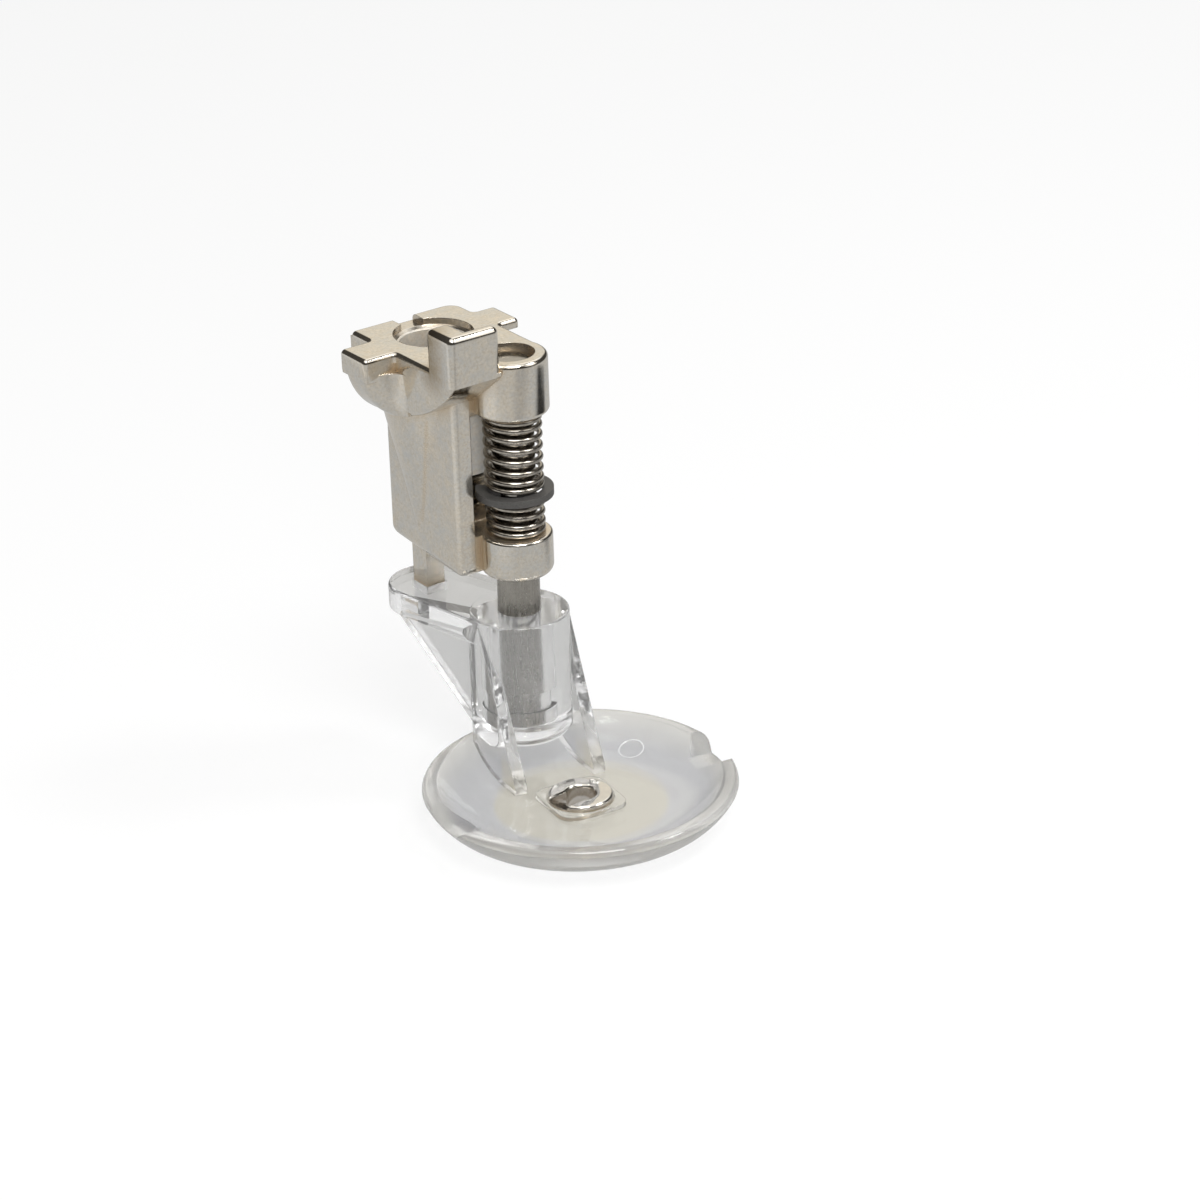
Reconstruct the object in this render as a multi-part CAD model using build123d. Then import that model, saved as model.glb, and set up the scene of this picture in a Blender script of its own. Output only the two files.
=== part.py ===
from build123d import *
import os
from math import atan2, cos, degrees, hypot, pi, sin, sqrt

# Sprung free-motion presser foot. Millimetres, X to the operator's right, Y to the back, Z up.
# The origin is where the needle axis meets the underside of the sole.

# Places in plan
rod_x = 1.15
rod_y = 9.4
socket_x = -1.0
socket_y = 16.85
post_x = -1.2
post_y = 18.95

# Dish of the sole
dish_radius = 12.7
dish_height = 3.55
floor_radius = 6.8
floor_thickness = 1.5
foot_radius = 7.8
rim_width = 1.1
rim_wall = 0.55
rim_round = 0.45
notch_width = 5.7
notch_floor = 1.9
notch_depth = 1.2
notch_round = 0.4
notch_shift = -0.75

# Rod boss, legs, arm and web of the sole
boss_radius = 4.05
boss_lift = 3.8
boss_length = 11.0
boss_foot_round = 1.3
boss_top_round = 0.2
rod_cover = 1.5
leg_thickness = 1.05
leg_spacing = 7.2
leg_toe = 3.4
leg_toe_height = 0.6
leg_head = 0.6
leg_back = 1.2
arm_radius = 3.4
arm_thickness = 2.0
arm_step = 0.15
arm_round = 0.25
web_thickness = 1.2
web_foot_angle = 130.0
guide_clearance = 0.12
pad_width = 6.0
pad_height = 0.3
pad_corner = 1.3

# Rod, clip and springs
rod_radius = 1.75
rod_recess = 0.6
rod_chamfer = 0.25
neck_radius = 1.45
neck_lift = 1.2
neck_length = 1.6
clip_radius = 3.15
clip_thickness = 0.6
clip_band = 0.85
clip_groove_radius = 1.15
clip_groove_play = 0.05
clip_opening = 84.0
clip_prong_width = 1.1
running_clearance = 0.04
wire_diameter = 0.46
spring_clearance = 0.2
upper_spring_length = 6.6
upper_spring_turns = 7.0
lower_spring_length = 3.2
lower_spring_turns = 3.5
spring_seat_play = 0.02

# Guide bosses of the shank
lug_gap = 3.4
lug_height = 3.5
lug_radius = 2.95
lug_foot_round = 0.7
lug_top_round = 0.25
upper_boss_radius = 3.05
upper_boss_height = 4.9
upper_boss_round = 0.4
rod_window_radius = 2.05
rod_window_depth = 1.7

# Slab of the shank
slab_left = 2.9
slab_right = 3.9
slab_front = 6.8
slab_back = 3.35
slab_slant = 0.85
slab_round = 0.55
slab_corner = 1.1
pocket_play = 0.4
pocket_round = 0.4
front_step = 0.25
bulge_reach = 1.3
bulge_half_width = 4.5
bulge_tip_lift = 2.6
bulge_tip_radius = 0.2
bulge_tip_shift = 0.9
post_width = 1.7
post_depth = 2.0
post_end_lift = 0.4
post_cover = 0.25

# Clamp head of the shank
head_left = 4.9
head_right = 5.1
head_back = 4.6
head_front = 9.77
plate_thickness = 0.8
plate_round = 0.4
plate_corner = 1.3
ear_width = 3.6
left_ear = 2.85
left_ear_thickness = 2.0
right_ear = 2.0
ear_corner = 0.35
chin_depth = 5.4
chin_radius = 12.5
chin_inset = 0.7
chin_round = 0.5
ear_straight = 0.6
bracket_foot = 0.1
bracket_start = 1.5
bracket_shoulder = 0.9
bracket_shoulder_width = 3.0
bracket_middle_width = 3.75
bracket_root_width = 6.6
bracket_sections = 6
block_width = 4.7
block_depth = 3.45
block_side_wall = 2.2
block_front_wall = 1.2
block_height = 3.4
block_round = 0.5
block_top_round = 0.55
gap_width = 2.1
gap_depth = 0.55
socket_radius = 2.8
socket_mouth_radius = 3.25
socket_mouth_depth = 0.55
socket_lead = 0.25
socket_depth = 10.5
socket_point = 1.2

# Eyelet
eyelet_radius = 2.65
eyelet_height = 0.75
eyelet_body_radius = 2.15
eyelet_hole_radius = 1.25
eyelet_round = 0.26
eyelet_sole_play = 0.1
channel_width = 2.1
channel_entry = 0.3
channel_exit = 1.5
channel_angle = 6.0

# Levels, from the sole up
boss_top = boss_lift + boss_length
arm_top = boss_top - arm_step
arm_bottom = arm_top - arm_thickness
lug_bottom = boss_top + lug_gap
lug_top = lug_bottom + lug_height
clip_bottom = lug_top + lower_spring_length
clip_top = clip_bottom + clip_thickness
upper_boss_bottom = clip_top + upper_spring_length
head_top = upper_boss_bottom + upper_boss_height
rod_top = head_top - rod_recess
rod_bottom = boss_lift + rod_cover

# The sole's middle plane runs from the rod to the needle
rod_reach = hypot(rod_x, rod_y)
sole_swing = degrees(atan2(rod_x, rod_y))
sole_turn = Rot(0, 0, -sole_swing)
rod_place = Pos(rod_x, rod_y, 0)
rod_bore_radius = rod_radius + running_clearance
coil_radius = rod_radius + spring_clearance + wire_diameter / 2


def ring_between(radius, bottom, top):
    """Upright cylinder on the origin from one level to another."""
    return Pos(0, 0, (bottom + top) / 2) * Cylinder(radius, top - bottom)


def block_between(low, high):
    """Box from its lowest corner to its highest corner."""
    size = [b - a for a, b in zip(low, high)]
    middle = [(a + b) / 2 for a, b in zip(low, high)]
    return Pos(*middle) * Box(*size)


def notch_face():
    """Cross-section of a rim notch, with two ramps down to a narrow floor."""
    outline = Polyline(
        (-notch_width / 2, notch_depth),
        (-notch_width / 2, 0),
        (-notch_floor / 2, -notch_depth),
        (notch_floor / 2, -notch_depth),
        (notch_width / 2, 0),
        (notch_width / 2, notch_depth),
        close=True,
    )
    section = make_face(outline)
    return fillet(section.vertices().group_by(Axis.Y)[0], notch_round)


def make_dish():
    """Shallow round dish with a flat floor and a rounded rim."""
    wall_level = dish_height - rim_wall
    lip_radius = dish_radius - rim_width
    profile = make_face(
        [
            Line((0, 0), (foot_radius, 0)),
            TangentArc((foot_radius, 0), (dish_radius, wall_level), tangent=(1, 0)),
            Line((dish_radius, wall_level), (dish_radius, dish_height)),
            Line((dish_radius, dish_height), (lip_radius, dish_height)),
            TangentArc((floor_radius, floor_thickness), (lip_radius, dish_height), tangent=(1, 0)),
            Line((floor_radius, floor_thickness), (0, floor_thickness)),
            Line((0, floor_thickness), (0, 0)),
        ]
    )
    dish = revolve(Plane.XZ * profile, Axis.Z)
    dish = fillet(dish.edges().group_by(Axis.Z)[-1], rim_round)
    notch = extrude(Plane.YZ * notch_face(), 2 * dish_radius, both=True)
    hollow = ring_between(floor_radius, 0, 2 * dish_height)
    return dish - (Pos(0, notch_shift, dish_height) * notch - hollow)


def make_rod_boss():
    """Upright round boss that holds the lower end of the rod."""
    boss = ring_between(boss_radius, boss_lift, boss_top)
    boss = fillet(boss.edges().group_by(Axis.Z)[0], boss_foot_round)
    boss = fillet(boss.edges().group_by(Axis.Z)[-1], boss_top_round)
    return Pos(0, rod_reach, 0) * boss


def make_leg(side):
    """Raking leg from the boss's flank down to the dish floor, at one side of the middle plane."""
    profile = Polyline(
        (rod_reach + leg_back, boss_top - leg_head),
        (rod_reach - leg_head, boss_top - leg_head),
        (leg_toe, floor_thickness + leg_toe_height),
        (leg_toe, floor_thickness / 2),
        (rod_reach + leg_back, floor_thickness / 2),
        close=True,
    )
    plate = extrude(Plane.YZ * make_face(profile), leg_thickness / 2, both=True)
    return Pos(side * leg_spacing / 2, 0, 0) * plate


def make_arm(lobe):
    """Flat arm from the boss back to the guide hole, and the web that carries it."""
    boss_ring = Pos(0, rod_reach) * Circle(boss_radius)
    lobe_ring = Pos(lobe.X, lobe.Y) * Circle(arm_radius)
    outline = make_hull(boss_ring.edges() + lobe_ring.edges())
    plate = Pos(0, 0, arm_bottom) * extrude(outline, arm_thickness)
    plate = fillet(plate.edges().group_by(Axis.Z)[-1], arm_round)

    foot_turn = Rot(0, 0, web_foot_angle)
    foot = (Pos(0, rod_reach) * foot_turn * Pos(boss_radius - web_thickness / 2, 0)).position
    along = (foot - lobe).normalized()
    outward = Vector(along.Y, -along.X)
    start = lobe + outward * (arm_radius - web_thickness / 2)
    length = (foot - start).length
    heading = degrees(atan2(foot.Y - start.Y, foot.X - start.X))
    side = Polyline(
        (0, arm_bottom + arm_thickness / 2),
        (length, arm_bottom + arm_thickness / 2),
        (length, dish_height - rim_wall),
        (0, arm_bottom),
        close=True,
    )
    web = extrude(Plane.XZ * make_face(side), web_thickness / 2, both=True)
    return plate + Pos(start.X, start.Y, 0) * Rot(0, 0, heading) * web


def make_sole():
    """The clear moulding: dish, boss, legs, arm and web in one piece."""
    lobe = (sole_turn.inverse() * Pos(post_x, post_y)).position
    sole = make_dish() + make_rod_boss() + make_arm(lobe)
    envelope = ring_between(dish_radius - rim_width / 2, floor_thickness / 2, boss_top)
    for side in (-1, 1):
        leg = make_leg(side) & envelope
        sole += leg - below_dish()
    pad = extrude(RectangleRounded(pad_width, pad_width, pad_corner), floor_thickness + pad_height)
    sole += pad
    sole -= ring_between(eyelet_body_radius, 0, floor_thickness)
    sole -= ring_between(eyelet_radius + eyelet_sole_play, floor_thickness, boss_lift)
    sole = sole_turn * sole
    sole -= rod_place * rod_blank()
    hole_x = post_width + 2 * guide_clearance
    hole_y = post_depth + 2 * guide_clearance
    hole_height = 4 * arm_thickness
    sole -= Pos(post_x, post_y, arm_bottom) * Box(hole_x, hole_y, hole_height)
    return sole


def below_dish():
    """Everything under the middle of the dish's wall."""
    middle = floor_thickness / 2
    wall_level = dish_height - rim_wall
    lip_radius = dish_radius - rim_width / 2
    profile = make_face(
        [
            Line((floor_radius, middle), (floor_radius, -dish_height)),
            Line((floor_radius, -dish_height), (lip_radius, -dish_height)),
            Line((lip_radius, -dish_height), (lip_radius, wall_level)),
            TangentArc((floor_radius, middle), (lip_radius, wall_level), tangent=(1, 0)),
        ]
    )
    return revolve(Plane.XZ * profile, Axis.Z)


def rod_blank():
    """The rod's own body without the clip groove, on the origin."""
    rod = ring_between(rod_radius, rod_bottom, rod_top)
    neck_bottom = rod_bottom + neck_lift
    collar = ring_between(rod_radius, neck_bottom, neck_bottom + neck_length)
    return rod - (collar - ring_between(neck_radius, neck_bottom, neck_bottom + neck_length))


def make_guide_rod():
    """Steel rod with a moulded-in neck below and a clip groove above."""
    rod = rod_blank()
    rod = chamfer(rod.edges().group_by(Axis.Z)[-1], rod_chamfer)
    groove_bottom = clip_bottom - clip_groove_play
    groove_top = clip_top + clip_groove_play
    groove = ring_between(rod_radius, groove_bottom, groove_top)
    rod -= groove - ring_between(clip_groove_radius, groove_bottom, groove_top)
    return rod_place * rod


def make_retaining_clip():
    """Open clip with three prongs that grip the groove."""
    inner = clip_radius - clip_band
    band = Circle(clip_radius) - Circle(inner)
    reach = (inner + clip_band / 2 - clip_groove_radius) / 2
    for angle in (-pi / 2, -pi / 2 + 2 * pi / 3, -pi / 2 - 2 * pi / 3):
        middle = clip_groove_radius + reach
        bar = Rot(0, 0, degrees(angle)) * Pos(middle, 0) * Rectangle(2 * reach, clip_prong_width)
        band += bar
    half = clip_opening / 2
    far = 2 * clip_radius
    mouth = Polyline(
        (0, 0),
        (far * sin(half * pi / 180), far * cos(half * pi / 180)),
        (-far * sin(half * pi / 180), far * cos(half * pi / 180)),
        close=True,
    )
    band -= make_face(mouth)
    band -= Circle(clip_groove_radius)
    ends = band.vertices().group_by(SortBy.DISTANCE)[-1]
    band = fillet(ends, clip_band / 3)
    return rod_place * Pos(0, 0, clip_bottom) * extrude(band, clip_thickness)


def make_spring(bottom, length, turns):
    """Round-wire coil spring on the rod axis."""
    rise = length - wire_diameter - 2 * spring_seat_play
    path = Helix(rise / turns, rise, coil_radius)
    wire = Plane(origin=path @ 0, z_dir=path % 0) * Circle(wire_diameter / 2)
    coil = sweep(wire, path, is_frenet=True)
    return rod_place * Pos(0, 0, bottom + spring_seat_play + wire_diameter / 2) * coil


def make_head_plate():
    """Cross-eared top plate, with the boss corner at the front right."""
    left = socket_x - head_left
    right = socket_x + head_right
    back = socket_y + head_back
    front = socket_y - head_front
    ear_front = socket_y - ear_width / 2
    ear_back = socket_y + ear_width / 2
    outline = make_face(
        Polyline(
            (left, front),
            (left + block_width, front),
            (left + block_width, rod_y),
            (right, rod_y),
            (right, ear_front),
            (right + right_ear, ear_front),
            (right + right_ear, ear_back),
            (right, ear_back),
            (right, back),
            (left, back),
            (left, ear_back),
            (left - left_ear, ear_back),
            (left - left_ear, ear_front),
            (left, ear_front),
            close=True,
        )
    )
    corners = outline.vertices().filter_by_position(Axis.Y, ear_front - ear_corner, back + ear_corner)
    far_corner = corners.sort_by_distance((right, back))[0]
    outline = fillet([corner for corner in corners if corner != far_corner], ear_corner)
    far_corner = outline.vertices().sort_by_distance((right, back))[0]
    outline = fillet(far_corner, plate_corner)
    outline = fillet(outline.vertices().group_by(Axis.Y)[0], block_round)
    outline += Pos(rod_x, rod_y) * Circle(upper_boss_radius)
    plate = Pos(0, 0, head_top - plate_thickness) * extrude(outline, plate_thickness)
    return fillet(plate.edges().group_by(Axis.Z)[-1], plate_round)


def chin_drum():
    """Lying drum whose lower arc shapes the head's underside."""
    centre = head_top - chin_depth + chin_radius
    return Pos(0, socket_y, centre) * Rot(0, 90, 0) * Cylinder(chin_radius, 4 * head_right)


def make_chin():
    """Rounded body under the plate, an arc in side view, no wider in front than the stop block."""
    left = socket_x - head_left
    right = socket_x + head_right - chin_inset
    low = head_top - chin_depth
    high = head_top - plate_thickness / 2
    body = block_between((left, rod_y, low), (right, socket_y + head_back, high))
    body += block_between((left, socket_y - head_front, low), (left + block_width, rod_y, high))
    chin = chin_drum() & body
    return fillet(chin.edges().filter_by(GeomType.CIRCLE).group_by(Axis.X)[0], chin_round)


def ear_rounding():
    """Radius that rolls the left ear's end in to the chin's foot."""
    taper = left_ear - bracket_foot
    fall = chin_depth - ear_straight
    return (taper**2 + fall**2) / (2 * taper)


def make_bracket():
    """Rounded bracket that carries the left ear out from the chin's flank."""
    face = socket_x - head_left
    rounding = ear_rounding()
    half_shoulder = bracket_shoulder_width / 2
    half_middle = bracket_middle_width / 2
    half_root = bracket_root_width / 2
    sections = []
    for step in range(bracket_sections):
        drop = bracket_start + (chin_depth - bracket_start) * step / (bracket_sections - 1)
        reach = left_ear - rounding + sqrt(rounding**2 - (drop - ear_straight) ** 2)
        bell = Spline(
            (face, socket_y - half_root),
            (face - reach / 2, socket_y - half_middle),
            (face - reach * bracket_shoulder, socket_y - half_shoulder),
            (face - reach, socket_y),
            (face - reach * bracket_shoulder, socket_y + half_shoulder),
            (face - reach / 2, socket_y + half_middle),
            (face, socket_y + half_root),
            tangents=((0, 1), (0, 1)),
        )
        closing = Polyline(
            (face, socket_y + half_root),
            (face + plate_thickness, socket_y + half_root),
            (face + plate_thickness, socket_y - half_root),
            (face, socket_y - half_root),
        )
        sections.append(Pos(0, 0, head_top - drop) * make_face([bell, closing]))
    return loft(sections) & chin_drum()


def make_left_ear():
    """Thick root of the left ear, its end rolled in to run on into the bracket."""
    end = socket_x - head_left - left_ear
    low = (end, socket_y - ear_width / 2, head_top - left_ear_thickness)
    high = (socket_x, socket_y + ear_width / 2, head_top - plate_thickness / 2)
    ear = block_between(low, high)
    ear = fillet(ear.edges().filter_by(Axis.Z), ear_corner)
    rounding = ear_rounding()
    roll = Pos(end + rounding, socket_y, head_top - ear_straight) * Rot(90, 0, 0)
    return ear & roll * Cylinder(rounding, 2 * ear_width)


def make_stop_block():
    """Tall stop at the front left of the head, angled in plan."""
    left = socket_x - head_left
    front = socket_y - head_front
    low = (left, front, head_top - plate_thickness)
    high = (left + block_width, front + block_depth, head_top + block_height)
    block = block_between(low, high)
    recess_low = (left + block_side_wall, front + block_front_wall, low[2])
    recess_high = (left + 2 * block_width, front + 2 * block_depth, high[2])
    block -= block_between(recess_low, recess_high)
    upright = block.edges().filter_by(Axis.Z)
    hollow = upright.sort_by_distance(recess_low)[0]
    block = fillet([edge for edge in upright if edge != hollow], block_round)
    return fillet(block.edges().group_by(Axis.Z)[-1], block_top_round)


def make_slab():
    """Flat stem of the shank with its slanted foot, post and socket bulge."""
    left = socket_x - slab_left
    right = socket_x + slab_right
    front = socket_y - slab_front
    back = max(socket_y + slab_back, post_y + post_depth / 2 + post_cover)
    top = head_top - chin_depth / 2
    side = Polyline(
        (front, lug_bottom),
        (back, lug_bottom + slab_slant),
        (back, top),
        (front, top),
        close=True,
    )
    slab = Pos(left, 0, 0) * extrude(Plane.YZ * make_face(side), right - left)
    slab = fillet(slab.edges().filter_by(Axis.Z), slab_round)
    slab = fillet(slab.edges().filter_by(Axis.X).group_by(Axis.Z)[1], slab_corner)
    slab += make_post()

    chord = bulge_half_width
    wide = (chord**2 + bulge_reach**2) / (2 * bulge_reach)
    bulge_top = head_top - chin_depth + plate_thickness
    tip_level = lug_bottom + bulge_tip_lift
    wide_ring = Pos(left - bulge_reach + wide, socket_y, bulge_top) * Circle(wide)
    tip_ring = Pos(left + bulge_tip_radius, socket_y - bulge_tip_shift, tip_level) * Circle(bulge_tip_radius)
    bulge = loft([tip_ring, wide_ring], ruled=True)
    room = block_between((left - wide, front, lug_bottom), (socket_x, back, head_top))
    return slab + (bulge & room)


def make_post():
    """Square guide post under the slab."""
    low = (post_x - post_width / 2, post_y - post_depth / 2, arm_bottom + post_end_lift)
    high = (post_x + post_width / 2, post_y + post_depth / 2, lug_top)
    return block_between(low, high)


def make_guide_bosses():
    """Upper and lower rod bosses of the shank."""
    lug = ring_between(lug_radius, lug_bottom, lug_top)
    lug = fillet(lug.edges().group_by(Axis.Z)[0], lug_foot_round)
    lug = fillet(lug.edges().group_by(Axis.Z)[-1], lug_top_round)
    upper = ring_between(upper_boss_radius, upper_boss_bottom, head_top - plate_round)
    upper = fillet(upper.edges().group_by(Axis.Z)[0], upper_boss_round)
    return rod_place * lug + rod_place * upper


def make_socket():
    """Blind round socket with a lead-in and a drilled point."""
    bottom = head_top - socket_depth
    mouth = head_top - socket_mouth_depth
    profile = make_face(
        Polyline(
            (0, bottom - socket_point),
            (socket_radius, bottom),
            (socket_radius, mouth - socket_lead),
            (socket_mouth_radius, mouth),
            (socket_mouth_radius, head_top + socket_lead),
            (0, head_top + socket_lead),
            close=True,
        )
    )
    return Pos(socket_x, socket_y, 0) * revolve(Plane.XZ * profile, Axis.Z)


def make_shank():
    """The casting: head, stem, bosses and post in one piece."""
    clear = clip_radius + pocket_play
    pocket_low = (rod_x - clear, rod_y - 2 * clear, lug_top)
    pocket_high = (rod_x + 2 * clear, rod_y + clear, upper_boss_bottom)
    pocket = block_between(pocket_low, pocket_high)
    pocket = fillet(pocket.edges().filter_by(Axis.Y).group_by(Axis.X)[0], pocket_round)
    step_low = (rod_x - clear, rod_y - 2 * clear, lug_bottom)
    step_high = (rod_x + 2 * clear, socket_y - slab_front + front_step, head_top)
    shank = make_slab() - pocket - block_between(step_low, step_high)
    shank += make_chin() + make_bracket() + make_left_ear()
    shank += make_head_plate()
    shank += make_stop_block()
    shank += make_guide_bosses()
    shank -= make_socket()
    gap_low = (socket_x - gap_width / 2, socket_y, head_top - gap_depth)
    gap_high = (socket_x + gap_width / 2, socket_y + 2 * head_back, head_top + gap_depth)
    shank -= block_between(gap_low, gap_high)
    shank -= rod_place * ring_between(rod_bore_radius, lug_bottom, head_top)
    window = ring_between(rod_window_radius, head_top - rod_window_depth, head_top + rod_window_depth)
    return shank - rod_place * window


def make_eyelet():
    """Plated eye with a rounded rim and a yarn channel that ramps down from its left."""
    top = floor_thickness + eyelet_height
    collar = ring_between(eyelet_radius, floor_thickness, top)
    body = ring_between(eyelet_body_radius, eyelet_sole_play, floor_thickness)
    side = Polyline(
        (-2 * eyelet_radius, top + eyelet_height),
        (-2 * eyelet_radius, top - channel_entry),
        (-eyelet_radius, top - channel_entry),
        (0, top - channel_exit),
        (0, top + eyelet_height),
        close=True,
    )
    channel = extrude(Plane.XZ * make_face(side), channel_width / 2, both=True)
    eye = collar + body - channel - ring_between(eyelet_hole_radius, 0, top)
    eye = fillet(eye.edges().group_by(Axis.Z)[-1], eyelet_round)
    return Rot(0, 0, channel_angle) * eye


nodes = {
    "shank": make_shank(),
    "guide_rod": make_guide_rod(),
    "retaining_clip": make_retaining_clip(),
    "upper_spring": make_spring(clip_top, upper_spring_length, upper_spring_turns),
    "lower_spring": make_spring(lug_top, lower_spring_length, lower_spring_turns),
    "sole": make_sole(),
    "eyelet": make_eyelet(),
}

os.makedirs("parts", exist_ok=True)
for name, solid in nodes.items():
    export_step(solid, f"parts/{name}.step")
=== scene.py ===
import math
import bmesh
import bpy
from mathutils import Matrix, Vector


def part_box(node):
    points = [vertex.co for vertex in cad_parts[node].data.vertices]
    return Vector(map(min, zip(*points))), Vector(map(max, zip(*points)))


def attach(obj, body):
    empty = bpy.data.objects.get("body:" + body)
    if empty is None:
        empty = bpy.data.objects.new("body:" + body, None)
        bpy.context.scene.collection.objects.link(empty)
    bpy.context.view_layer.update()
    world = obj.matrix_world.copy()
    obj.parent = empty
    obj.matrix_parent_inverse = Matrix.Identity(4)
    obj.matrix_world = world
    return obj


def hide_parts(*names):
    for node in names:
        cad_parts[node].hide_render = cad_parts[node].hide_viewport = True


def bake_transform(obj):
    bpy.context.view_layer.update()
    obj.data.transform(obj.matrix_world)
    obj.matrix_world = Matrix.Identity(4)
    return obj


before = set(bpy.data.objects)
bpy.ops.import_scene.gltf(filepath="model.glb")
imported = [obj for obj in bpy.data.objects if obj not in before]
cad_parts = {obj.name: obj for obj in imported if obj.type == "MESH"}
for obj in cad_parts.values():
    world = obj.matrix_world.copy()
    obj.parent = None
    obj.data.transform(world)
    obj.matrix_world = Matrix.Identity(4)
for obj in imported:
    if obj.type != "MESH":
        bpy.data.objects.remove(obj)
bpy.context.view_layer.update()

scene = bpy.context.scene
mm = 0.001
print("frame loaded:", ", ".join(sorted(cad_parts)))


# node helpers shared by the finishes

def startFinish(name):
    mat = bpy.data.materials.new(name)
    mat.use_nodes = True
    tree = mat.node_tree
    shader = tree.nodes["Principled BSDF"]
    coords = tree.nodes.new("ShaderNodeTexCoord")
    inMm = tree.nodes.new("ShaderNodeMapping")
    inMm.inputs["Scale"].default_value = (1 / mm, 1 / mm, 1 / mm)    # patterns are written in millimetres
    tree.links.new(coords.outputs["Object"], inMm.inputs["Vector"])
    return mat, tree, shader, inMm.outputs["Vector"]


def noise(tree, vector, scale, detail=2.0, rough=0.5, stretch=None):
    if stretch:
        squeeze = tree.nodes.new("ShaderNodeMapping")
        squeeze.inputs["Scale"].default_value = stretch
        tree.links.new(vector, squeeze.inputs["Vector"])
        vector = squeeze.outputs["Vector"]
    tex = tree.nodes.new("ShaderNodeTexNoise")
    tex.inputs["Scale"].default_value = scale
    tex.inputs["Detail"].default_value = detail
    tex.inputs["Roughness"].default_value = rough
    tree.links.new(vector, tex.inputs["Vector"])
    return tex.outputs["Fac"]


def toRange(tree, value, low, high, fromLow=0.3, fromHigh=0.7):
    node = tree.nodes.new("ShaderNodeMapRange")
    node.inputs["From Min"].default_value = fromLow
    node.inputs["From Max"].default_value = fromHigh
    node.inputs["To Min"].default_value = low
    node.inputs["To Max"].default_value = high
    tree.links.new(value, node.inputs["Value"])
    return node.outputs["Result"]


def twoTone(tree, value, dark, light, low=0.3, high=0.7):
    ramp = tree.nodes.new("ShaderNodeValToRGB")
    ramp.color_ramp.elements[0].position = low
    ramp.color_ramp.elements[0].color = (*dark, 1)
    ramp.color_ramp.elements[1].position = high
    ramp.color_ramp.elements[1].color = (*light, 1)
    tree.links.new(value, ramp.inputs["Fac"])
    return ramp.outputs["Color"]


def tones(tree, value, stops):
    ramp = tree.nodes.new("ShaderNodeValToRGB")
    marks = ramp.color_ramp.elements
    while len(marks) < len(stops):
        marks.new(1.0)
    for mark, (place, colour) in zip(marks, stops):
        mark.position = place
        mark.color = (*colour, 1)
    tree.links.new(value, ramp.inputs["Fac"])
    return ramp.outputs["Color"]


def mixColour(tree, factor, a, b):
    node = tree.nodes.new("ShaderNodeMix")
    node.data_type = "RGBA"
    tree.links.new(factor, node.inputs[0])
    for index, value in ((6, a), (7, b)):    # the colour sockets of the node
        if isinstance(value, tuple):
            node.inputs[index].default_value = (*value, 1)
        else:
            tree.links.new(value, node.inputs[index])
    return node.outputs[2]


def math2(tree, operation, a, b=None):
    node = tree.nodes.new("ShaderNodeMath")
    node.operation = operation
    for slotIndex, value in enumerate((a, b)):
        if value is None:
            continue
        if isinstance(value, (int, float)):
            node.inputs[slotIndex].default_value = value
        else:
            tree.links.new(value, node.inputs[slotIndex])
    return node.outputs[0]


def mixValue(tree, factor, a, b):
    node = tree.nodes.new("ShaderNodeMix")
    tree.links.new(factor, node.inputs[0])
    node.inputs[2].default_value = a
    tree.links.new(b, node.inputs[3])
    return node.outputs[0]


def shaded(tree, colour, factor):
    node = tree.nodes.new("ShaderNodeVectorMath")
    node.operation = "SCALE"
    tree.links.new(colour, node.inputs[0])
    tree.links.new(factor, node.inputs["Scale"])
    return node.outputs[0]


def bump(tree, height, strength, distance, normal=None):
    node = tree.nodes.new("ShaderNodeBump")
    node.inputs["Strength"].default_value = strength
    node.inputs["Distance"].default_value = distance
    tree.links.new(height, node.inputs["Height"])
    if normal:
        tree.links.new(normal, node.inputs["Normal"])
    return node.outputs["Normal"]


def roundedEdges(tree, radius):
    node = tree.nodes.new("ShaderNodeBevel")
    node.samples = 6
    node.inputs["Radius"].default_value = radius
    return node.outputs["Normal"]


# finishes

nickel = dict(cool=(0.68, 0.675, 0.65), tan=(0.80, 0.725, 0.61), brown=(0.64, 0.52, 0.37), rough=(0.07, 0.16),
              wave=0.35, patch=1.6, grain=9.0, shares=(0.35, 0.40, 0.25), toneFrom=(0.38, 0.62),
              speck=4.2, speckTone=(0.86, 1.10), speckFade=0.35, speckBrown=0.34, speckFrom=(0.25, 0.48),
              edge=0.08 * mm, waveBump=(0.25, 0.05 * mm), grainBump=(0.22, 0.01 * mm),
              # painted shade: the keys from nook to the crease set brown darkening in nooks and along a crease
              nook=1.4 * mm, nookFrom=(0.40, 0.92), paintedShadeRough=0.28, paintedShadeMetal=0.85, castPaintedShade=0.2,
              pocketLow=(-2.5, 12.7, 25.7), pocketHigh=(3.2, 13.2, 32.2), castRough=0.55, castMetal=0.12,
              boreAt=(-1.0, 16.85, 0), boreRadius=2.95, boreLow=24.0, boreHigh=36.3, boreRough=0.28, boreMetal=0.45,
              creaseFrom=(-4.25, 13.45, 31.2), creaseTo=(-3.9, 15.3, 22.0), creaseWidth=0.26, creaseDepth=(0.3, 0.85),
              # a darker brown band on the inner side of the stop block
              blockSideFrom=(-5.9, 9.95, 39.7), blockSideTo=(-5.9, 9.75, 36.9), blockSideWidth=2.3,
              blockSide=(0.31, 0.24, 0.15), blockSideFade=0.6)


def inBox(tree, at, low, high):
    split = tree.nodes.new("ShaderNodeSeparateXYZ")
    tree.links.new(at, split.inputs[0])
    inside = None
    for axis in range(3):
        above = math2(tree, "GREATER_THAN", split.outputs[axis], low[axis])
        below = math2(tree, "LESS_THAN", split.outputs[axis], high[axis])
        both = math2(tree, "MULTIPLY", above, below)
        inside = math2(tree, "MULTIPLY", inside, both) if inside else both
    return inside


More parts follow.
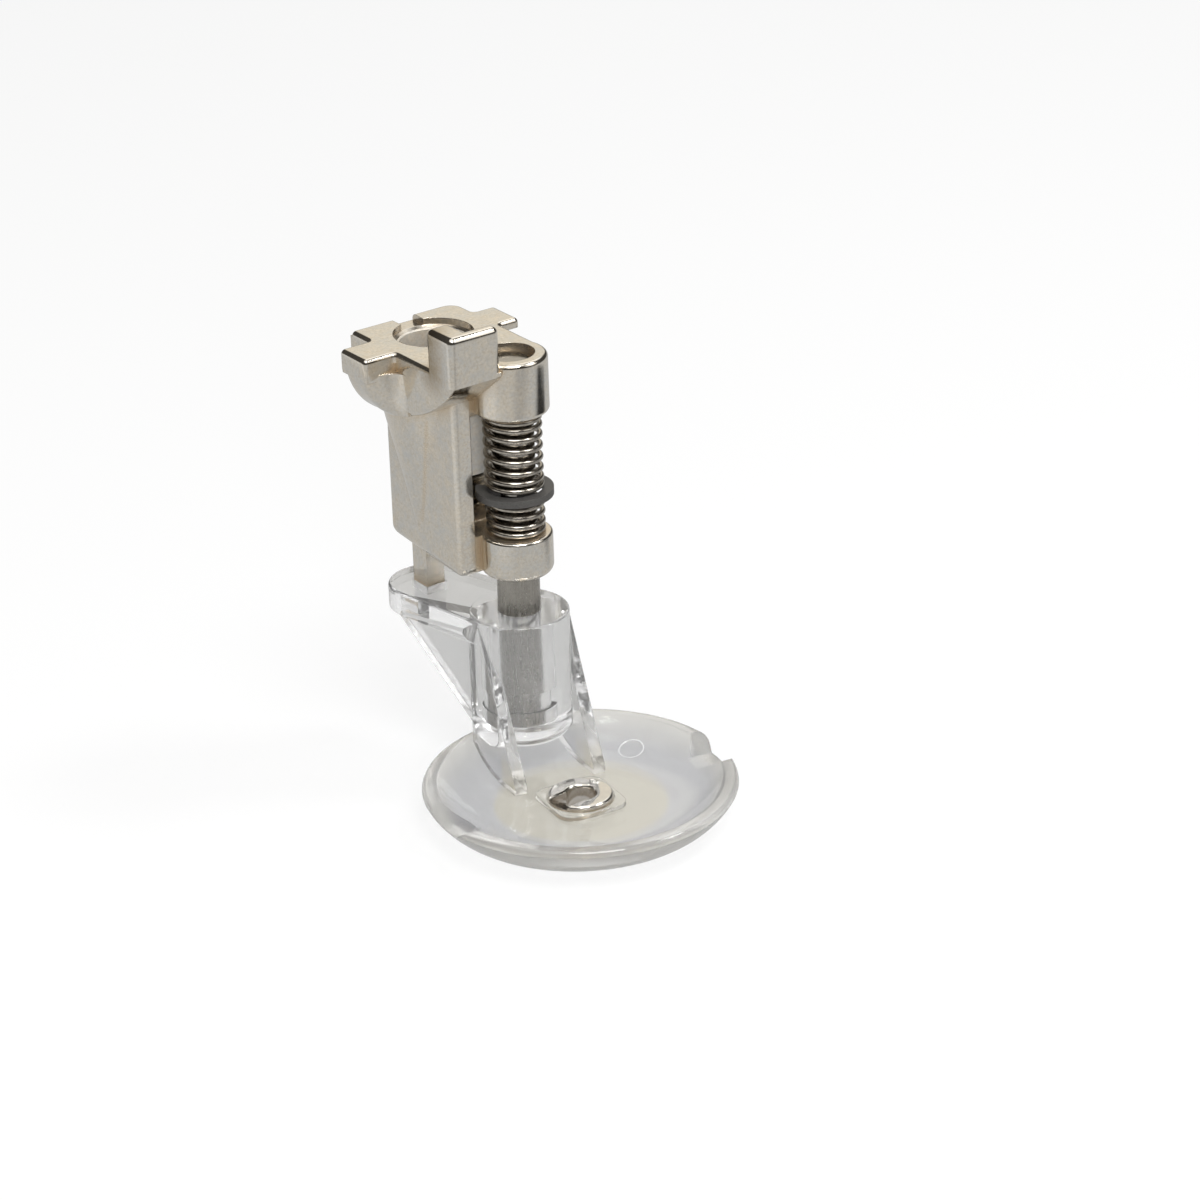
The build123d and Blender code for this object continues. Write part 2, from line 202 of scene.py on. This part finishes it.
def inRound(tree, at, middle, radius, low, high):
    split = tree.nodes.new("ShaderNodeSeparateXYZ")
    tree.links.new(at, split.inputs[0])
    flat = tree.nodes.new("ShaderNodeCombineXYZ")
    tree.links.new(split.outputs[0], flat.inputs[0])
    tree.links.new(split.outputs[1], flat.inputs[1])
    away = tree.nodes.new("ShaderNodeVectorMath")
    away.operation = "DISTANCE"
    away.inputs[1].default_value = middle
    tree.links.new(flat.outputs[0], away.inputs[0])
    near = math2(tree, "LESS_THAN", away.outputs["Value"], radius)
    above = math2(tree, "GREATER_THAN", split.outputs[2], low)
    below = math2(tree, "LESS_THAN", split.outputs[2], high)
    return math2(tree, "MULTIPLY", near, math2(tree, "MULTIPLY", above, below))


def nearLine(tree, at, start, end, width):
    way = Vector(end) - Vector(start)
    arm = tree.nodes.new("ShaderNodeVectorMath")
    arm.operation = "SUBTRACT"
    arm.inputs[1].default_value = start
    tree.links.new(at, arm.inputs[0])
    dot = tree.nodes.new("ShaderNodeVectorMath")
    dot.operation = "DOT_PRODUCT"
    dot.inputs[1].default_value = way / way.length_squared
    tree.links.new(arm.outputs[0], dot.inputs[0])
    share = math2(tree, "MINIMUM", math2(tree, "MAXIMUM", dot.outputs["Value"], 0.0), 1.0)
    foot = tree.nodes.new("ShaderNodeVectorMath")
    foot.operation = "SCALE"
    foot.inputs[0].default_value = way
    tree.links.new(share, foot.inputs["Scale"])
    away = tree.nodes.new("ShaderNodeVectorMath")
    away.operation = "DISTANCE"
    tree.links.new(arm.outputs[0], away.inputs[0])
    tree.links.new(foot.outputs[0], away.inputs[1])
    return toRange(tree, away.outputs["Value"], 1.0, 0.0, 0.0, width)


def nickelPlate(name, size):
    mat, tree, shader, at = startFinish(name)
    cloud = noise(tree, at, size["wave"], 3)
    grain = noise(tree, at, size["grain"], 4, 0.65)
    patch = noise(tree, at, size["patch"], 5, 0.65)
    layers = [math2(tree, "MULTIPLY", layer, share) for layer, share in zip((cloud, patch, grain), size["shares"])]
    both = math2(tree, "ADD", math2(tree, "ADD", layers[0], layers[1]), layers[2])
    # painted shade: the colour goes brown in nooks found by ambient occlusion and along one crease line
    nook = tree.nodes.new("ShaderNodeAmbientOcclusion")
    nook.samples = 4
    nook.inputs["Distance"].default_value = size["nook"]
    hidden = toRange(tree, nook.outputs["AO"], 1.0, 0.0, *size["nookFrom"])
    crease = math2(tree, "MULTIPLY", nearLine(tree, at, size["creaseFrom"], size["creaseTo"], size["creaseWidth"]),
                   toRange(tree, grain, *size["creaseDepth"]))
    cast = inBox(tree, at, size["pocketLow"], size["pocketHigh"])
    # painted shade mask: nooks and the crease line, weaker on the cast pocket wall
    paintedShade = math2(tree, "MULTIPLY", math2(tree, "MAXIMUM", hidden, crease),
                    toRange(tree, cast, 1.0, size["castPaintedShade"], 0.0, 1.0))
    # the plated skin of a casting is finely speckled
    speck = noise(tree, at, size["speck"], 3, 0.7)
    speck = mixValue(tree, toRange(tree, patch, size["speckFade"], 1.0), 0.5, speck)    # 0.5 is the noise's middle
    toned = twoTone(tree, both, size["cool"], size["tan"], *size["toneFrom"])
    toned = shaded(tree, toned, toRange(tree, speck, *size["speckTone"]))
    toned = mixColour(tree, toRange(tree, speck, size["speckBrown"], 0.0, *size["speckFrom"]), toned, size["brown"])
    # and a darker brown band on the inner side of the stop block
    blockSideMask = nearLine(tree, at, size["blockSideFrom"], size["blockSideTo"], size["blockSideWidth"])
    blockSideMask = math2(tree, "MULTIPLY", blockSideMask, toRange(tree, patch, size["blockSideFade"], 1.0))
    toned = mixColour(tree, blockSideMask, toned, size["blockSide"])
    # painted shade: there the plating colour is mixed towards brown
    tree.links.new(mixColour(tree, paintedShade, toned, size["brown"]), shader.inputs["Base Color"])
    # the wall behind the springs is left as cast, and the socket is bored dull
    bored = inRound(tree, at, size["boreAt"], size["boreRadius"], size["boreLow"], size["boreHigh"])
    dull = math2(tree, "ADD", math2(tree, "MULTIPLY", cast, size["castRough"]),
                 math2(tree, "MULTIPLY", bored, size["boreRough"]))
    # where shade is painted the plating is also rougher and less metallic
    dull = math2(tree, "ADD", dull, math2(tree, "MULTIPLY", paintedShade, size["paintedShadeRough"]))
    tree.links.new(math2(tree, "ADD", toRange(tree, both, *size["rough"]), dull), shader.inputs["Roughness"])
    bright = math2(tree, "MULTIPLY", toRange(tree, cast, 1.0, size["castMetal"], 0.0, 1.0),
                   toRange(tree, bored, 1.0, size["boreMetal"], 0.0, 1.0))
    bright = math2(tree, "MULTIPLY", bright, toRange(tree, paintedShade, 1.0, size["paintedShadeMetal"], 0.0, 1.0))
    tree.links.new(bright, shader.inputs["Metallic"])
    soft = roundedEdges(tree, size["edge"])
    skin = bump(tree, cloud, *size["waveBump"], soft)
    tree.links.new(bump(tree, grain, *size["grainBump"], skin), shader.inputs["Normal"])
    return mat


rodSteel = dict(dark=(0.32, 0.30, 0.27), light=(0.47, 0.45, 0.41), rough=(0.22, 0.36),
                lines=2.2, stretch=(4.0, 4.0, 0.35), spots=5.0, shares=(0.7, 0.3), lineBump=(0.15, 0.01 * mm),
                edge=0.06 * mm, brightFrom=(19.0, 19.6), bright=0.45, plasticEndShadeFrom=(14.2, 15.0), plasticEndShade=0.68)


def groundSteel(name, size):
    mat, tree, shader, at = startFinish(name)
    lines = noise(tree, at, size["lines"], 4, 0.6, size["stretch"])    # grinding lines run along the rod
    spots = noise(tree, at, size["spots"], 2)
    ofLines, ofSpots = size["shares"]
    both = math2(tree, "ADD", math2(tree, "MULTIPLY", lines, ofLines), math2(tree, "MULTIPLY", spots, ofSpots))
    # the length that runs through the springs is polished brighter
    split = tree.nodes.new("ShaderNodeSeparateXYZ")
    tree.links.new(at, split.inputs[0])
    polish = toRange(tree, split.outputs[2], 1.0, size["bright"], *size["brightFrom"])
    # and the end in the plastic is painted darker, as shade
    steel = twoTone(tree, both, size["dark"], size["light"])
    inPlasticShade = toRange(tree, split.outputs[2], size["plasticEndShade"], 1.0, *size["plasticEndShadeFrom"])
    tree.links.new(shaded(tree, steel, inPlasticShade), shader.inputs["Base Color"])
    tree.links.new(math2(tree, "MULTIPLY", toRange(tree, both, *size["rough"]), polish), shader.inputs["Roughness"])
    tree.links.new(bump(tree, lines, *size["lineBump"], roundedEdges(tree, size["edge"])), shader.inputs["Normal"])
    shader.inputs["Metallic"].default_value = 1.0
    return mat


wire = dict(dark=(0.36, 0.33, 0.29), light=(0.58, 0.54, 0.48), rough=(0.16, 0.26),
            mottle=3.5, mottleBump=(0.04, 0.01 * mm))


def drawnWire(name, size):
    mat, tree, shader, at = startFinish(name)
    mottle = noise(tree, at, size["mottle"], 4, 0.6)
    tree.links.new(twoTone(tree, mottle, size["dark"], size["light"]), shader.inputs["Base Color"])
    tree.links.new(toRange(tree, mottle, *size["rough"]), shader.inputs["Roughness"])
    tree.links.new(bump(tree, mottle, *size["mottleBump"]), shader.inputs["Normal"])
    shader.inputs["Metallic"].default_value = 1.0
    return mat


oxide = dict(dark=(0.062, 0.060, 0.057), light=(0.112, 0.108, 0.102), rough=(0.42, 0.60),
             specks=7.0, speckBump=(0.3, 0.015 * mm), edge=0.06 * mm, metal=0.4)


def blackOxide(name, size):
    mat, tree, shader, at = startFinish(name)
    specks = noise(tree, at, size["specks"], 5, 0.7)
    tree.links.new(twoTone(tree, specks, size["dark"], size["light"]), shader.inputs["Base Color"])
    tree.links.new(toRange(tree, specks, *size["rough"]), shader.inputs["Roughness"])
    tree.links.new(bump(tree, specks, *size["speckBump"], roundedEdges(tree, size["edge"])), shader.inputs["Normal"])
    shader.inputs["Metallic"].default_value = size["metal"]
    return mat


clear = dict(plain=(0.925, 0.925, 0.922), byRadius=[(6.8, (0.910, 0.880, 0.795)), (7.3, (0.862, 0.864, 0.880)),
                                                    (10.6, (0.862, 0.864, 0.880)), (11.6, (0.950, 0.940, 0.905))],
             widest=16.0, plainFrom=(3.4, 4.2), rough=(0.015, 0.05),
             clearness=(0.90, 0.87, 0.77), dishEdge=(10.6, 11.8),
             markAt=(8.05, 4.12, 1.89), markRadius=1.02, markWidth=0.10, markBump=(0.8, 0.06 * mm), markHaze=0.5,
             flow=0.45, flowBump=(0.10, 0.10 * mm), dust=12.0, dustBump=(0.04, 0.01 * mm),
             turning=2.2, turnBump=(0.22, 0.05 * mm), edge=0.12 * mm, bend=1.49)


def clearPlastic(name, size):
    mat, tree, shader, at = startFinish(name)
    flow = noise(tree, at, size["flow"], 4, 0.55)
    dust = noise(tree, at, size["dust"], 3, 0.6)
    # cream in the floor of the dish and in its rim, greyer on the slope between, plain above
    split = tree.nodes.new("ShaderNodeSeparateXYZ")
    tree.links.new(at, split.inputs[0])
    radius = math2(tree, "SQRT", math2(tree, "ADD", math2(tree, "MULTIPLY", split.outputs[0], split.outputs[0]),
                                       math2(tree, "MULTIPLY", split.outputs[1], split.outputs[1])))
    stops = [(r / size["widest"], colour) for r, colour in size["byRadius"]]
    rings = tones(tree, math2(tree, "DIVIDE", radius, size["widest"]), stops)
    high = toRange(tree, split.outputs[2], 0.0, 1.0, *size["plainFrom"])
    tree.links.new(mixColour(tree, high, rings, size["plain"]), shader.inputs["Base Color"])
    tree.links.new(toRange(tree, flow, *size["rough"]), shader.inputs["Roughness"])
    # raised ring left by an ejector pin
    away = tree.nodes.new("ShaderNodeVectorMath")
    away.operation = "DISTANCE"
    away.inputs[1].default_value = size["markAt"]
    tree.links.new(at, away.inputs[0])
    off = math2(tree, "ABSOLUTE", math2(tree, "SUBTRACT", away.outputs["Value"], size["markRadius"]))
    ring = toRange(tree, off, 1.0, 0.0, 0.0, size["markWidth"])
    # faint turning lines of the mould run round the dish
    hoop = tree.nodes.new("ShaderNodeCombineXYZ")
    tree.links.new(radius, hoop.inputs[0])
    tree.links.new(split.outputs[2], hoop.inputs[1])
    turned = noise(tree, hoop.outputs[0], size["turning"], 3, 0.6)
    turned = math2(tree, "MULTIPLY", turned, math2(tree, "SUBTRACT", 1.0, high))
    skin = bump(tree, flow, *size["flowBump"], roundedEdges(tree, size["edge"]))
    skin = bump(tree, turned, *size["turnBump"], skin)
    skin = bump(tree, dust, *size["dustBump"], skin)
    tree.links.new(bump(tree, ring, *size["markBump"], skin), shader.inputs["Normal"])
    shader.inputs["IOR"].default_value = size["bend"]
    # the dish is a little hazy, its rim more so, and the ring is frosted
    above, within, edge = size["clearness"]
    dish = toRange(tree, radius, within, edge, *size["dishEdge"])
    rise = math2(tree, "MULTIPLY", high, math2(tree, "SUBTRACT", above, dish))
    hazy = math2(tree, "ADD", dish, rise)
    hazy = math2(tree, "SUBTRACT", hazy, math2(tree, "MULTIPLY", ring, size["markHaze"]))
    tree.links.new(hazy, shader.inputs["Transmission Weight"])
    return mat


eyePlate = dict(nickel, cool=(0.72, 0.70, 0.665), tan=(0.80, 0.775, 0.73), brown=(0.40, 0.33, 0.25),
                rough=(0.03, 0.07), speckTone=(0.97, 1.03), speckBrown=0.0)

finishes = {
    "casting": nickelPlate("bright nickel casting", nickel),
    "eye": nickelPlate("polished eye plate", eyePlate),
    "rod": groundSteel("ground rod steel", rodSteel),
    "wire": drawnWire("drawn spring wire", wire),
    "clip": blackOxide("black oxide steel", oxide),
    "plastic": clearPlastic("clear moulded plastic", clear),
}
print("finishes made:", len(finishes))


# the CAD solids, merged and shaded smooth, stand for their own nodes

rodAxis = Vector((1.15 * mm, 9.4 * mm, 0))
needleAxis = Vector((0, 0, 0))

solids = dict(
    shank=dict(body="shank", finish="casting", slot="plated_casting", sharp=28),
    guide_rod=dict(body="carriage", finish="rod", slot="rod_steel", sharp=30, bitesAt=rodAxis, bitesBelow=14.7 * mm),
    retaining_clip=dict(body="carriage", finish="clip", slot="black_steel", sharp=30),
    sole=dict(body="carriage", finish="plastic", slot="clear_plastic", sharp=32),
    eyelet=dict(body="carriage", finish="eye", slot="plated_eye", sharp=32, bitesAt=needleAxis, bitesBelow=1.52 * mm),
)
bite = -0.03 * mm    # a film of air parts the metal from the plastic round it, so the two skins never coincide
biteShare = 0.75     # only skin beyond this share of the radius is drawn in
weld = 0.001 * mm


def smoothSolid(node, size):
    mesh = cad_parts[node].data.copy()
    mesh.name = node + "Skin"
    if "custom_normal" in mesh.attributes:
        mesh.attributes.remove(mesh.attributes["custom_normal"])
    work = bmesh.new()
    work.from_mesh(mesh)
    bmesh.ops.remove_doubles(work, verts=work.verts, dist=weld)
    if "bitesAt" in size:
        middle = size["bitesAt"]
        outer = max((v.co.xy - middle.xy).length for v in work.verts if v.co.z < size["bitesBelow"])
        for v in work.verts:
            arm = v.co.xy - middle.xy
            if v.co.z < size["bitesBelow"] and arm.length > biteShare * outer:
                v.co.xy = middle.xy + arm * (1 + bite / arm.length)
    work.to_mesh(mesh)
    work.free()
    mesh.shade_smooth()
    mesh.set_sharp_from_angle(angle=math.radians(size["sharp"]))
    mesh.materials.clear()
    mesh.materials.append(finishes[size["finish"]])
    piece = bpy.data.objects.new(node + "Skin", mesh)
    scene.collection.objects.link(piece)
    # flat faces keep their own direction, so the roundings beside them shade evenly
    weigh = piece.modifiers.new("weigh", "WEIGHTED_NORMAL")
    weigh.keep_sharp = True
    graph = bpy.context.evaluated_depsgraph_get()
    weighed = bpy.data.meshes.new_from_object(piece.evaluated_get(graph), preserve_all_data_layers=True,
                                              depsgraph=graph)
    piece.modifiers.remove(weigh)
    piece.data = weighed
    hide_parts(node)
    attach(piece, size["body"])
    return piece


for node, size in solids.items():
    piece = smoothSolid(node, size)
    print("solid", node, len(piece.data.polygons), "faces")


# coil springs, grown by a node tree

springs = dict(
    upper_spring=dict(turns=7.6, wire=0.46 * mm, mean=2.18 * mm, closed=0.45, fixedEnd="top"),
    lower_spring=dict(turns=3.9, wire=0.46 * mm, mean=2.18 * mm, closed=0.45, fixedEnd="bottom"),
)
coilSteps = 48    # along each turn
wireSides = 20


def coilTree():
    tree = bpy.data.node_groups.new("coil spring", "GeometryNodeTree")
    face = tree.interface
    for label in ("Turns", "Mean radius", "Wire radius", "Rise", "Closed ends"):
        face.new_socket(label, in_out="INPUT", socket_type="NodeSocketFloat")
    face.new_socket("Start", in_out="INPUT", socket_type="NodeSocketVector")
    face.new_socket("Finish", in_out="INPUT", socket_type="NodeSocketMaterial")
    face.new_socket("Coil", in_out="OUTPUT", socket_type="NodeSocketGeometry")
    add = tree.nodes.new
    link = tree.links.new
    given = add("NodeGroupInput")
    given = {socket.name: socket for socket in given.outputs}
    spiral = add("GeometryNodeCurveSpiral")
    spiral.inputs["Resolution"].default_value = coilSteps
    link(given["Turns"], spiral.inputs["Rotations"])
    link(given["Mean radius"], spiral.inputs["Start Radius"])
    link(given["Mean radius"], spiral.inputs["End Radius"])
    link(given["Rise"], spiral.inputs["Height"])
    # the last coils lie flatter, as closed ends do
    along = add("GeometryNodeSplineParameter")
    ease = add("ShaderNodeMapRange")
    ease.interpolation_type = "SMOOTHSTEP"
    link(along.outputs["Factor"], ease.inputs["Value"])
    part = add("ShaderNodeMath")
    part.operation = "SUBTRACT"
    link(ease.outputs["Result"], part.inputs[0])
    link(along.outputs["Factor"], part.inputs[1])
    share = add("ShaderNodeMath")
    share.operation = "MULTIPLY"
    link(part.outputs[0], share.inputs[0])
    link(given["Closed ends"], share.inputs[1])
    lift = add("ShaderNodeMath")
    lift.operation = "MULTIPLY"
    link(share.outputs[0], lift.inputs[0])
    link(given["Rise"], lift.inputs[1])
    upward = add("ShaderNodeCombineXYZ")
    link(lift.outputs[0], upward.inputs["Z"])
    shift = add("ShaderNodeVectorMath")
    shift.operation = "ADD"
    link(upward.outputs[0], shift.inputs[0])
    link(given["Start"], shift.inputs[1])
    place = add("GeometryNodeSetPosition")
    link(spiral.outputs[0], place.inputs["Geometry"])
    link(shift.outputs[0], place.inputs["Offset"])
    section = add("GeometryNodeCurvePrimitiveCircle")
    section.inputs["Resolution"].default_value = wireSides
    link(given["Wire radius"], section.inputs["Radius"])
    tube = add("GeometryNodeCurveToMesh")
    tube.inputs["Fill Caps"].default_value = True
    link(place.outputs[0], tube.inputs["Curve"])
    link(section.outputs[0], tube.inputs["Profile Curve"])
    smooth = add("GeometryNodeSetShadeSmooth")
    link(tube.outputs[0], smooth.inputs[0])
    solid = add("GeometryNodeRealizeInstances")
    link(smooth.outputs[0], solid.inputs[0])
    paint = add("GeometryNodeSetMaterial")
    link(solid.outputs[0], paint.inputs["Geometry"])
    link(given["Finish"], paint.inputs["Material"])
    out = add("NodeGroupOutput")
    link(paint.outputs[0], out.inputs[0])
    return tree


def growCoil(node, size, tree):
    low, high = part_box(node)
    seat = bpy.data.objects.new(node + "Seed", bpy.data.meshes.new(node + "Seed"))
    scene.collection.objects.link(seat)
    grow = seat.modifiers.new("coil", "NODES")
    grow.node_group = tree
    ids = {item.name: item.identifier for item in tree.interface.items_tree if item.in_out == "INPUT"}
    rise = high[2] - low[2] - size["wire"]
    grow[ids["Turns"]] = size["turns"]
    grow[ids["Mean radius"]] = size["mean"]
    grow[ids["Wire radius"]] = size["wire"] / 2
    grow[ids["Rise"]] = rise
    grow[ids["Closed ends"]] = size["closed"]
    grow[ids["Start"]] = (rodAxis.x, rodAxis.y, low[2] + size["wire"] / 2)
    grow[ids["Finish"]] = finishes["wire"]
    grown = seat.evaluated_get(bpy.context.evaluated_depsgraph_get())
    mesh = bpy.data.meshes.new_from_object(grown)
    seat.modifiers.remove(grow)
    bpy.data.objects.remove(seat)
    mesh.name = node + "Coil"
    coil = bpy.data.objects.new(node + "Coil", mesh)
    scene.collection.objects.link(coil)
    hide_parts(node)
    if size["fixedEnd"] == "top":
        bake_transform(coil)
    else:
        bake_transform(coil)
    return coil


coils = coilTree()
for node, size in springs.items():
    coil = growCoil(node, size, coils)
    print("coil", node, len(coil.data.polygons), "faces")


# floor, light and camera

floorSize = dict(half=6.0, drop=0.05 * mm, colour=(0.92, 0.92, 0.915), rough=0.9, gloss=0.1, level=0.76,
                 through=0.92, mirrored=(1.0, 1.0, 0.99),
                 paper=(0.57, 0.74), paperFrom=(34, 60), paperWay=(-0.98, -0.20, 0),
                 near=(1.0, 0.80), nearFrom=(44, 62), nearWay=(-0.55, -0.83, 0),
                 shadeX=(42, 58, 84, 100), shadeY=(-54, -40, -4, 10), shade=0.06)


def makeFloor(size):
    mesh = bpy.data.meshes.new("paleFloor")
    h = size["half"]
    mesh.from_pydata([(-h, -h, 0), (h, -h, 0), (h, h, 0), (-h, h, 0)], [], [(0, 1, 2, 3)])
    floor = bpy.data.objects.new("paleFloor", mesh)
    floor.location.z = -size["drop"]
    scene.collection.objects.link(floor)
    mat = bpy.data.materials.new("pale paper")
    mat.use_nodes = True
    tree = mat.node_tree
    shader = tree.nodes["Principled BSDF"]
    shader.inputs["Base Color"].default_value = (*size["colour"], 1)
    shader.inputs["Roughness"].default_value = size["rough"]
    shader.inputs["Specular IOR Level"].default_value = size["gloss"]
    glow = tree.nodes.new("ShaderNodeEmission")
    path = tree.nodes.new("ShaderNodeLightPath")
    share = math2(tree, "MAXIMUM", math2(tree, "MULTIPLY", path.outputs["Is Camera Ray"], size["level"]),
                  math2(tree, "MULTIPLY", path.outputs["Is Transmission Ray"], size["through"]))
    mix = tree.nodes.new("ShaderNodeMixShader")
    tree.links.new(share, mix.inputs[0])
    tree.links.new(shader.outputs[0], mix.inputs[1])
    tree.links.new(glow.outputs[0], mix.inputs[2])
    # what the plating mirrors: even paper, with a dark patch at the right
    coords = tree.nodes.new("ShaderNodeTexCoord")
    split = tree.nodes.new("ShaderNodeSeparateXYZ")
    tree.links.new(coords.outputs["Object"], split.inputs[0])
    dark = None
    for axis, (a, b, c, d) in enumerate((size["shadeX"], size["shadeY"])):
        rise = toRange(tree, split.outputs[axis], 0.0, 1.0, a * mm, b * mm)
        band = math2(tree, "MULTIPLY", rise, toRange(tree, split.outputs[axis], 1.0, 0.0, c * mm, d * mm))
        dark = math2(tree, "MULTIPLY", dark, band) if dark else band
    level = toRange(tree, dark, 1.0, size["shade"], 0.0, 1.0)
    for slope in ("paper", "near"):
        along = tree.nodes.new("ShaderNodeVectorMath")
        along.operation = "DOT_PRODUCT"
        along.inputs[1].default_value = size[slope + "Way"]
        tree.links.new(coords.outputs["Object"], along.inputs[0])
        start, end = size[slope + "From"]
        fade = toRange(tree, along.outputs["Value"], *size[slope], start * mm, end * mm)
        level = math2(tree, "MULTIPLY", level, fade)
    paper = tree.nodes.new("ShaderNodeEmission")
    paper.inputs["Color"].default_value = (*size["mirrored"], 1)
    tree.links.new(level, paper.inputs["Strength"])
    inGloss = tree.nodes.new("ShaderNodeMixShader")
    tree.links.new(path.outputs["Is Glossy Ray"], inGloss.inputs[0])
    tree.links.new(mix.outputs[0], inGloss.inputs[1])
    tree.links.new(paper.outputs[0], inGloss.inputs[2])
    tree.links.new(inGloss.outputs[0], tree.nodes["Material Output"].inputs["Surface"])
    mesh.materials.append(mat)


# white behind the object, and for what the plating mirrors a dim room with a warm wall and three softboxes
room = dict(fill=0.45, dim=(0.060, 0.056, 0.050), boxes=[
    dict(at=(0.524, 0.740, 0.420), edge=(0.93, 0.975), colour=(0.88, 0.83, 0.73)),
    dict(at=(0.524, 0.40, 0.75), edge=(0.94, 0.98), colour=(1.35, 1.33, 1.28)),
    dict(at=(-0.15, -0.15, 0.98), edge=(0.80, 0.90), colour=(1.25, 1.23, 1.19)),
    dict(at=(0.524, -0.62, 0.58), edge=(0.94, 0.98), colour=(1.5, 1.48, 1.45)),
])


def makeRoom(size):
    world = bpy.data.worlds.new("studio")
    scene.world = world
    world.use_nodes = True
    tree = world.node_tree
    tree.nodes.clear()
    coords = tree.nodes.new("ShaderNodeTexCoord")
    path = tree.nodes.new("ShaderNodeLightPath")
    walls = size["dim"]
    for box in size["boxes"]:
        dot = tree.nodes.new("ShaderNodeVectorMath")
        dot.operation = "DOT_PRODUCT"
        dot.inputs[1].default_value = Vector(box["at"]).normalized()
        tree.links.new(coords.outputs["Generated"], dot.inputs[0])
        lit = toRange(tree, dot.outputs["Value"], 0.0, 1.0, *box["edge"])
        walls = mixColour(tree, lit, walls, box["colour"])
    mirrored = tree.nodes.new("ShaderNodeBackground")
    tree.links.new(walls, mirrored.inputs["Color"])
    fill = tree.nodes.new("ShaderNodeBackground")
    fill.inputs["Color"].default_value = (1, 1, 1, 1)
    fill.inputs["Strength"].default_value = size["fill"]
    white = tree.nodes.new("ShaderNodeBackground")
    white.inputs["Color"].default_value = (1, 1, 1, 1)
    inGloss = tree.nodes.new("ShaderNodeMixShader")
    tree.links.new(path.outputs["Is Glossy Ray"], inGloss.inputs[0])
    tree.links.new(fill.outputs[0], inGloss.inputs[1])
    tree.links.new(mirrored.outputs[0], inGloss.inputs[2])
    seen = math2(tree, "MAXIMUM", path.outputs["Is Camera Ray"], path.outputs["Is Transmission Ray"])
    final = tree.nodes.new("ShaderNodeMixShader")
    tree.links.new(seen, final.inputs[0])
    tree.links.new(inGloss.outputs[0], final.inputs[1])
    tree.links.new(white.outputs[0], final.inputs[2])
    out = tree.nodes.new("ShaderNodeOutputWorld")
    tree.links.new(final.outputs[0], out.inputs["Surface"])


lamps = dict(
    key=dict(at=(-0.06, -0.20, 0.42), aim=(0, 0.008, 0.02), size=0.20, watts=1.1),
    edge=dict(at=(0.19, -0.10, 0.32), aim=(0, 0.008, 0.02), size=0.07, watts=0.35),
    # reaches the wall behind the springs, and isn't mirrored in the plating
    low=dict(at=(-0.15, -0.265, 0.14), aim=(0, 0.012, 0.028), size=0.10, watts=0.40, mirrored=False),
)


def makeLamps(sizes):
    for name, size in sizes.items():
        data = bpy.data.lights.new(name + "Box", "AREA")
        data.shape = "SQUARE"
        data.size = size["size"]
        data.energy = size["watts"]
        lamp = bpy.data.objects.new(name + "Box", data)
        lamp.visible_glossy = size.get("mirrored", True)
        lamp.location = size["at"]
        lamp.rotation_euler = (Vector(size["aim"]) - Vector(size["at"])).to_track_quat("-Z", "Y").to_euler()
        scene.collection.objects.link(lamp)


# where the photographer stood
eye = dict(at=(-168.558, -241.567, 155.653), right=(0.80806, -0.58841, -0.02862), up=(0.26859, 0.32474, 0.90686),
           back=(-0.52431, -0.74048, 0.42045), focal=4134.918, frame=1200)


def makeCamera(size):
    data = bpy.data.cameras.new("eye")
    data.sensor_fit = "HORIZONTAL"
    data.sensor_width = 36.0
    data.lens = 36.0 * size["focal"] / size["frame"]
    data.clip_start = 0.01
    data.clip_end = 10.0
    camera = bpy.data.objects.new("eye", data)
    turn = Matrix((size["right"], size["up"], size["back"])).transposed().to_4x4()
    camera.matrix_world = Matrix.Translation(Vector(size["at"]) * mm) @ turn
    scene.collection.objects.link(camera)
    scene.camera = camera


makeFloor(floorSize)
makeRoom(room)
makeLamps(lamps)
makeCamera(eye)
scene.view_settings.view_transform = "Standard"
print("floor, room, lamps and camera placed")
